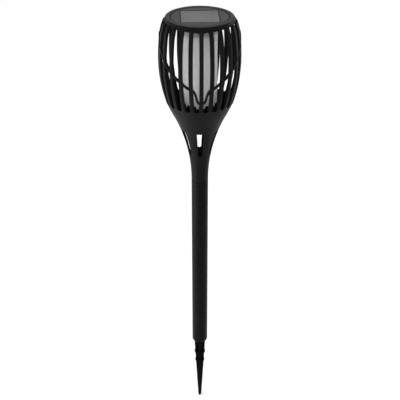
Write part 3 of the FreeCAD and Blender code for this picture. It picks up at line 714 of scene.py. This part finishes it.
def edge_half_width(level):
    """Half the slot's width at a level, with its corners, and the columns' spread below it."""
    clamped = min(max(level, SLOT_FOOT), SLOT_TOP)
    half = slot_half_width(clamped)
    rise = clamped - SLOT_FOOT
    if rise < SLOT_CORNER:
        half -= SLOT_CORNER - math.sqrt(max(0.0, SLOT_CORNER ** 2 - (SLOT_CORNER - rise) ** 2))
    if level > SLOT_TOP - SLOT_TOP_CORNER + HAIR:
        half -= SLOT_TOP_CORNER
    if level < SLOT_FOOT:
        half += (SLOT_FOOT - level) * LAND_SPREAD
    return half


def slot_columns(half_angle):
    """Angles of the grid's columns, with the slots' edges among them."""
    pitch = 2 * math.pi / SLOT_COUNT
    gap = pitch - 2 * half_angle
    angles = []
    for slot in range(SLOT_COUNT):
        middle = slot * pitch
        angles += [middle - half_angle + 2 * half_angle * step / COLUMNS_IN for step in range(COLUMNS_IN)]
        angles += [middle + half_angle + gap * step / COLUMNS_OUT for step in range(COLUMNS_OUT)]
    return angles


def inner_radius(level, radius):
    """The bowl's inside, which closes in to the pole's socket below the slots."""
    if level >= BOWL_FOOT:
        return radius - FUNNEL_WALL
    socket = POLE_RADIUS - SOCKET_WALL
    return max(min(radius - FUNNEL_WALL, socket + (level - FUNNEL_FLOOR) * FLOOR_SLOPE), socket)


# ------------------------------------------------------------------ flame outline

# One half of the line, from the front: degrees round the cage and millimetres of rise.
FLAME_HALF = [(0.0, 0.0), (5.5, 4.0), (8.4, 14.0), (12.0, 21.6), (20.0, 25.4), (32.0, 33.5),
              (46.0, 43.5), (61.0, 59.0), (75.0, 74.0), (90.0, 90.0)]
FLAME_FOOT = foot_of("flame_outline") + 1.0 * MM
FLAME_WIDTH = 2.6 * MM
FLAME_PROUD = 0.7 * MM
FLAME_DEPTH = 3.6 * MM
FLAME_CROWN = ((1.0, 0.3), (0.72, 0.82), (0.35, 1.0))      # shares of the half width and of the height


def build_flame(mesh):
    whole = [(-angle, rise) for angle, rise in reversed(FLAME_HALF[1:])] + FLAME_HALF
    line = smooth_line([Vector((angle, rise)) for angle, rise in whole], 14)
    points = []
    for angle, rise in line:
        level = FLAME_FOOT + rise * MM
        turn = math.radians(angle)
        outward = Vector((math.sin(turn), -math.cos(turn), 0))
        points.append((outward * bow_radius(level) + Vector((0, 0, level)), outward))
    section = [(-1.0, -FLAME_DEPTH), (1.0, -FLAME_DEPTH)]
    section += [(side, FLAME_PROUD * height) for side, height in FLAME_CROWN]
    section += [(-side, FLAME_PROUD * height) for side, height in reversed(FLAME_CROWN)]
    half = FLAME_WIDTH / 2
    rings = []
    for index, (point, outward) in enumerate(points):
        ahead = points[min(index + 1, len(points) - 1)][0]
        behind = points[max(index - 1, 0)][0]
        across = (ahead - behind).normalized().cross(outward).normalized()
        rings.append([mesh.verts.new(point + across * half * side + outward * reach)
                      for side, reach in section])
    skin(mesh, rings)


def smooth_line(points, steps):
    """A Catmull-Rom line through the points."""
    padded = [points[0] * 2 - points[1]] + points + [points[-1] * 2 - points[-2]]
    line = []
    for before, start, end, after in zip(padded, padded[1:], padded[2:], padded[3:]):
        for step in range(steps):
            t = step / steps
            line.append(0.5 * ((2 * start) + (end - before) * t
                               + (2 * before - 5 * start + 4 * end - after) * t * t
                               + (3 * start - before - 3 * end + after) * t * t * t))
    line.append(points[-1])
    return line


# ------------------------------------------------------------------ cage ring and lid

RING_TOP_RADIUS = 49.1 * MM
RING_CHAMFER = 1.0 * MM
SEAT = LID_PLANE - 4.7 * MM             # level of the ledge that the lid's seal lies on
LEDGE_RADIUS = 43.0 * MM
NOTCH_RADIUS = 46.2 * MM
NOTCH_COUNT = 3
NOTCH_HALF = math.radians(9.5)
NOTCH_SLOPE = math.radians(0.3)         # the turn over which the ledge steps back out of a notch
NOTCH_STEPS = 10
PLAIN_STEPS = 48
LID_GAP = 0.15 * MM                     # between the ring's pocket and the lid

LID_INSET = 0.1 * MM                    # how far the shell stays inside the CAD's lid
RIM_INSIDE = 42.2 * MM                  # where the raised rim falls to the groove round the plate
GROOVE_OUTSIDE = RIM_INSIDE - 0.1 * MM
GROOVE_WIDTH = 1.1 * MM
GROOVE_FLOOR = LID_PLANE - 1.4 * MM
CELL_OPENING = 26.3 * MM                # half the side of the square hole that shows the cell
CELL_POCKET = radius_of("cell_laminate") + 0.3 * MM
LIP_THICKNESS = 0.12 * MM
POCKET_DEPTH = 2.6 * MM
SHADE_LINE_WIDTH = 1.6 * MM                   # painted shade round the cell's opening, for the shadow gap at its edge
SHADE_LINE_FADE = 0.64 * MM
FINGER_HALF = 2.6 * MM
FINGER_DEPTH = 2.4 * MM
LID_COLUMNS = 384
# The groove's finish is painted shade: it is darker than the lid plastic around it.
RIM_FINISH, PLATE_FINISH, GROOVE_SHADE_FINISH = range(3)


def ring_angles():
    """Angles of the ring's columns, close together at the ends of its three notches."""
    pitch = 2 * math.pi / NOTCH_COUNT
    plain = pitch - 2 * (NOTCH_HALF + NOTCH_SLOPE)
    angles = []
    for notch in range(NOTCH_COUNT):
        middle = notch * pitch
        angles += [middle - NOTCH_HALF + 2 * NOTCH_HALF * step / NOTCH_STEPS
                   for step in range(NOTCH_STEPS + 1)]
        start = middle + NOTCH_HALF + NOTCH_SLOPE
        angles += [start + plain * step / PLAIN_STEPS for step in range(PLAIN_STEPS + 1)]
    return angles


def build_ring(mesh):
    """The collar that the lid sits in, with a ledge that three bayonet notches cut."""
    foot = foot_of("cage_ring")
    pocket = radius_of("lid") + LID_GAP
    pitch = 2 * math.pi / NOTCH_COUNT
    columns = []
    for angle in ring_angles():
        off = abs((angle + pitch / 2) % pitch - pitch / 2)
        ledge = NOTCH_RADIUS if off <= NOTCH_HALF + HAIR else LEDGE_RADIUS
        outline = rounded([
            (ledge, foot, 0.3 * MM), (RING_RADIUS - RING_CHAMFER, foot, 0.5 * MM),
            (RING_RADIUS, foot + RING_CHAMFER, 0.8 * MM), (RING_TOP_RADIUS, RING_TOP, 0.3 * MM),
            (pocket, RING_TOP, 0.15 * MM), (pocket, SEAT, 0.2 * MM), (ledge, SEAT, 0.3 * MM)])
        columns.append([mesh.verts.new(on_axis(radius, angle, level)) for radius, level in outline])
    skin(mesh, columns, capped=False, closed=True)


# One ring of the lid's shell. Squareness goes from 0, a circle of the radius, to 1, a square whose half
# side is the opening. Notch is the share of the finger notches' depth that the ring drops by.
LidRow = namedtuple("LidRow", "radius level squareness notch opening", defaults=(0, 0, CELL_OPENING))


def rim_rows():
    """From the underside up the outside, over the rounded crest and down into the groove."""
    under = foot_of("lid")
    crest = top_of("lid") - LID_INSET
    edge = radius_of("lid") - LID_INSET
    return [
        LidRow(edge - 0.4 * MM, under), LidRow(edge, under + 0.4 * MM),
        LidRow(edge, crest - 1.5 * MM, notch=1),
        LidRow(edge - 0.1 * MM, crest - 0.95 * MM, notch=1),
        LidRow(edge - 0.4 * MM, crest - 0.65 * MM, notch=1),
        LidRow(edge - 0.9 * MM, crest - 0.5 * MM, notch=1),
        LidRow(RIM_INSIDE + 3.8 * MM, crest, notch=1),
        LidRow(RIM_INSIDE + 2.6 * MM, crest - 0.06 * MM, notch=0.9),
        LidRow(RIM_INSIDE + 0.5 * MM, crest - 0.72 * MM, notch=0.6),
        LidRow(RIM_INSIDE + 0.12 * MM, crest - 0.92 * MM, notch=0.5),
        LidRow(RIM_INSIDE, crest - 1.15 * MM, notch=0.3),
        LidRow(GROOVE_OUTSIDE, GROOVE_FLOOR)]


def plate_rows():
    """From the groove over the plate to the cell's opening, under its lip and down the pocket."""
    groove_inside = GROOVE_OUTSIDE - GROOVE_WIDTH
    plate = groove_inside - 0.4 * MM
    lip_foot = LID_PLANE - LIP_THICKNESS
    steps = 6
    rows = [LidRow(groove_inside, GROOVE_FLOOR), LidRow(groove_inside - 0.15 * MM, LID_PLANE - 0.25 * MM)]
    rows += [LidRow(plate, LID_PLANE, squareness=step / steps) for step in range(steps + 1)]
    rows += [LidRow(plate, lip_foot, squareness=1),
             LidRow(plate, lip_foot, squareness=1, opening=CELL_POCKET),
             LidRow(plate, LID_PLANE - POCKET_DEPTH, squareness=1, opening=CELL_POCKET)]
    return rows


def lid_ring(mesh, row):
    """The points of one ring of the lid, between a circle and a square, with the finger notches."""
    ring = []
    for column in range(LID_COLUMNS):
        angle = 2 * math.pi * column / LID_COLUMNS
        across, along = math.sin(angle), -math.cos(angle)
        to_square = row.opening / max(abs(across), abs(along))
        reach = row.radius + (to_square - row.radius) * row.squareness
        off = abs(along) * row.radius / FINGER_HALF
        drop = FINGER_DEPTH * row.notch * (math.cos(math.pi * min(off, 1.0)) + 1) / 2
        ring.append(mesh.verts.new((reach * across, reach * along, row.level - drop)))
    return ring


def build_lid(mesh):
    """One closed shell whose rings change from the round rim to the square recess of the cell."""
    skin(mesh, [lid_ring(mesh, row) for row in rim_rows() + plate_rows()])
    for face in mesh.faces:
        middle = face.calc_center_median()
        reach = math.hypot(middle.x, middle.y)
        if reach < RIM_INSIDE - GROOVE_WIDTH and middle.z > LID_PLANE - 1.0 * MM:
            face.material_index = PLATE_FINISH
        elif reach < RIM_INSIDE and middle.z > GROOVE_FLOOR - 0.1 * MM:
            face.material_index = GROOVE_SHADE_FINISH


# ------------------------------------------------------------------ diffuser and its toothed base

DIFFUSER_WALL = 1.5 * MM
CONE_RADIUS = 21.2 * MM                 # the cone's upper end
DIFFUSER_NECK = 19.5 * MM
CONE_FOOT_DROP = 11.0 * MM
CONE_TOP_DROP = 3.8 * MM
TOOTH_COUNT = 18
TOOTH_TOP = top_of("diffuser_base")
TOOTH_ROUND = 1.3 * MM
TOOTH_SHARE = 0.52                      # of the pitch
BASE_LIP = 0.6 * MM


def build_diffuser(mesh):
    """A tube with a shoulder cone and a neck, as one closed wall."""
    low, high = foot_of("diffuser"), top_of("diffuser")
    outer, wall = radius_of("diffuser"), DIFFUSER_WALL
    cone_foot, cone_top = high - CONE_FOOT_DROP, high - CONE_TOP_DROP
    lathe(mesh, rounded([
        (outer - wall, low, 0.3 * MM), (outer, low, 0.3 * MM), (outer, cone_foot, 6.0 * MM),
        (CONE_RADIUS, cone_top, 0.3 * MM), (DIFFUSER_NECK, cone_top, 0.2 * MM),
        (DIFFUSER_NECK, high, 0.3 * MM), (DIFFUSER_NECK - wall, high, 0.3 * MM),
        (DIFFUSER_NECK - wall, cone_top - wall, 0.2 * MM), (CONE_RADIUS - wall, cone_top - wall, 0.2 * MM),
        (outer - wall, cone_foot - 1 * MM, 5.0 * MM)], 8), 160)


def tooth_outline(half, foot, top):
    """A tooth seen from outside: (across, level), with a round top."""
    points = [(-half, foot)]
    arc_steps = 4
    for centre, first in ((TOOTH_ROUND - half, 180), (half - TOOTH_ROUND, 90)):
        for step in range(arc_steps + 1):
            angle = math.radians(first - 90 * step / arc_steps)
            points.append((centre + TOOTH_ROUND * math.cos(angle),
                           top - TOOTH_ROUND + TOOTH_ROUND * math.sin(angle)))
    return points + [(half, foot)]


def build_base(mesh):
    """A shallow dish under the diffuser, with a crown of teeth round it."""
    low = foot_of("diffuser_base")
    floor = foot_of("diffuser")
    lip = floor + BASE_LIP
    inner = radius_of("diffuser") + 0.1 * MM
    outer = radius_of("diffuser_base")
    lathe(mesh, rounded([
        (0, low, 0), (outer, low, 0.9 * MM), (outer, lip, 0.2 * MM),
        (inner, lip, 0.2 * MM), (inner, floor, 0.1 * MM), (0, floor, 0)]), 144)
    half = math.pi * outer / TOOTH_COUNT * TOOTH_SHARE
    for tooth in range(TOOTH_COUNT):
        middle = 2 * math.pi * tooth / TOOTH_COUNT
        sides = []
        for radius in (inner + 0.05 * MM, outer - 0.1 * MM):
            sides.append([mesh.verts.new(on_axis(radius, middle + across / radius, level))
                          for across, level in tooth_outline(half, floor + 0.3 * MM, TOOTH_TOP)])
        skin(mesh, sides)


# ------------------------------------------------------------------ poles and ground stake

BORE_RADIUS = 11.0 * MM
SPIGOT_RADIUS = 10.94 * MM
SPIGOT_BORE = 9.0 * MM
SOCKET_RADIUS = 8.5 * MM                # for the stake's plug
SOCKET_DEPTH = 38 * MM
SHELF_DROP = 6 * MM                     # the narrow bore starts this far below the shoulder
POLE_FOOT_ROUND = 5.2 * MM
JOINT_ROUND = 0.5 * MM
UPPER_SOCKET = BORE_RADIUS - 0.02 * MM  # the upper tube's mouth, round the spigot


def tube_outline(foot, top, foot_round, socket):
    """A pole section from its foot, up the outside, over the spigot and down the bore."""
    shelf = top - SHELF_DROP
    return rounded([
        (socket, foot, 0.3 * MM), (POLE_RADIUS, foot, foot_round), (POLE_RADIUS, top, JOINT_ROUND),
        (SPIGOT_RADIUS, top, 0.2 * MM), (SPIGOT_RADIUS, top + SPIGOT, 1.2 * MM),
        (SPIGOT_BORE, top + SPIGOT, 0.3 * MM), (SPIGOT_BORE, shelf, 0.3 * MM),
        (BORE_RADIUS, shelf - 2 * MM, 0.3 * MM), (BORE_RADIUS, foot + SOCKET_DEPTH, 0.3 * MM),
        (socket, foot + SOCKET_DEPTH, 0)], 6)


def build_lower_pole(mesh):
    lathe(mesh, tube_outline(POLE_FOOT, POLE_JOINT, POLE_FOOT_ROUND, SOCKET_RADIUS), 128)


def build_upper_pole(mesh):
    lathe(mesh, tube_outline(POLE_JOINT, NECK, JOINT_ROUND, UPPER_SOCKET), 128)


STAKE_LOW = (2.95 * MM, 9.0 * MM)       # radius and level where the taper ends and the tip starts
STAKE_TOP_RADIUS = 9.6 * MM
COLLAR_FOOT = POLE_FOOT - 4.0 * MM
BARBS = ((106.5 * MM, 9.3 * MM), (87.0 * MM, 8.1 * MM))    # level and radius
BARB_HALF = 2.8 * MM
BARB_SLOPE = 1.4 * MM
FIN_HALF = 1.5 * MM
FIN_FILLET = 1.8 * MM
TIP_POWER = 2.4                         # 2 would be an ellipse; more is blunter
PLUG_GAP = 0.06 * MM


def stake_reach(level):
    """How far the fins reach from the axis: a straight taper that rounds off at the tip."""
    radius, low = STAKE_LOW
    if level >= low:
        return radius + (STAKE_TOP_RADIUS - radius) * (level - low) / (POLE_FOOT - low)
    return radius * math.sqrt(max(0.02, 1 - ((low - level) / low) ** TIP_POWER))


def cross_section(reach):
    """Four fins with round tips and filleted roots, as (across, along) points."""
    half = min(FIN_HALF, reach * 0.55)
    tip = half * 0.6
    fillet = min(FIN_FILLET, 0.45 * (reach - half))
    quarter = []
    tip_steps, root_steps = 3, 4
    for centre, first in ((tip - half, -90), (half - tip, 0)):
        for step in range(tip_steps + 1):
            angle = math.radians(first + 90 * step / tip_steps)
            quarter.append(Vector((reach - tip + tip * math.cos(angle), centre + tip * math.sin(angle))))
    for step in range(root_steps + 1):
        angle = math.radians(270 - 90 * step / root_steps)
        quarter.append(Vector((half + fillet + fillet * math.cos(angle),
                               half + fillet + fillet * math.sin(angle))))
    points = []
    for fin in range(4):
        points += [Matrix.Rotation(math.pi / 2 * fin, 2) @ point for point in quarter]
    return points


def build_stake(mesh):
    """Four tapering fins with two barbed collars, under the pole's collar and its plug."""
    tip_steps = 9
    tip_level = STAKE_LOW[1]
    levels = [tip_level * step / tip_steps for step in range(tip_steps + 1)]
    levels += even_steps(tip_level, COLLAR_FOOT + 1 * MM, 40)
    skin(mesh, [[mesh.verts.new((point.x, point.y, level)) for point in cross_section(stake_reach(level))]
                for level in levels])
    for level, radius in BARBS:
        lathe(mesh, rounded([
            (0, level - BARB_HALF, 0), (radius - BARB_SLOPE, level - BARB_HALF, 0.4 * MM),
            (radius, level - BARB_HALF / 2, 0.7 * MM), (radius, level + BARB_HALF / 2, 0.7 * MM),
            (radius - BARB_SLOPE, level + BARB_HALF, 0.4 * MM), (0, level + BARB_HALF, 0)]), 64)
    plug = SOCKET_RADIUS - PLUG_GAP
    collar = radius_of("ground_stake")
    top = top_of("ground_stake")
    lathe(mesh, rounded([
        (0, COLLAR_FOOT, 0), (collar, COLLAR_FOOT, 0.8 * MM), (collar, POLE_FOOT, 0.1 * MM),
        (plug, POLE_FOOT, 0.2 * MM), (plug, top, 1.4 * MM), (0, top, 0)]), 96)


# ------------------------------------------------------------------ pieces

def make_head(materials):
    """Ring, ribs, flame outline and funnel, which are one moulding on the real torch."""
    cage = [materials["cage"]]
    new_piece("ribs", "head", ["cage_ribs"], build_ribs, cage)
    new_piece("flame_line", "head", ["flame_outline"], build_flame, cage)
    ring = new_piece("collar_ring", "head", ["cage_ring"], build_ring, cage)
    even_normals(ring)
    funnel = new_piece("funnel_shell", "head", ["funnel"], build_funnel,
                       [materials["funnel"]])
    round_edges(funnel, 0.5 * MM)


def make_lamp(materials):
    # The groove round the plate takes the near-black cage plastic instead of the lid's own: painted shade
    # in the groove.
    lid_finishes = {RIM_FINISH: "lid_rim", PLATE_FINISH: "lid_plate", GROOVE_SHADE_FINISH: "cage"}
    lid = new_piece("lid_shell", "lamp", ["lid"], build_lid,
                    [materials[lid_finishes[index]] for index in sorted(lid_finishes)])
    tube = new_piece("diffuser_tube", "lamp", ["diffuser"], build_diffuser,
                     [materials["diffuser"]])
    base = new_piece("toothed_base", "lamp", ["diffuser_base"], build_base,
                     [materials["housing"]])
    for piece in (lid, tube, base):
        even_normals(piece)


def make_pole_and_stake(materials):
    for name, body, slot, node, builder, key in (
            ("upper_tube", "upper_pole", "pole_plastic", "pole_upper", build_upper_pole, "pole"),
            ("lower_tube", "lower_pole", "pole_plastic", "pole_lower", build_lower_pole, "pole"),
            ("spike", "stake", "stake_plastic", "ground_stake", build_stake, "stake")):
        even_normals(new_piece(name, body, [node], builder, [materials[key]]))


def make_scene():
    make_camera()
    make_studio()
    materials = make_materials()
    finish_cad_nodes(materials)
    make_head(materials)
    make_lamp(materials)
    make_pole_and_stake(materials)


make_scene()
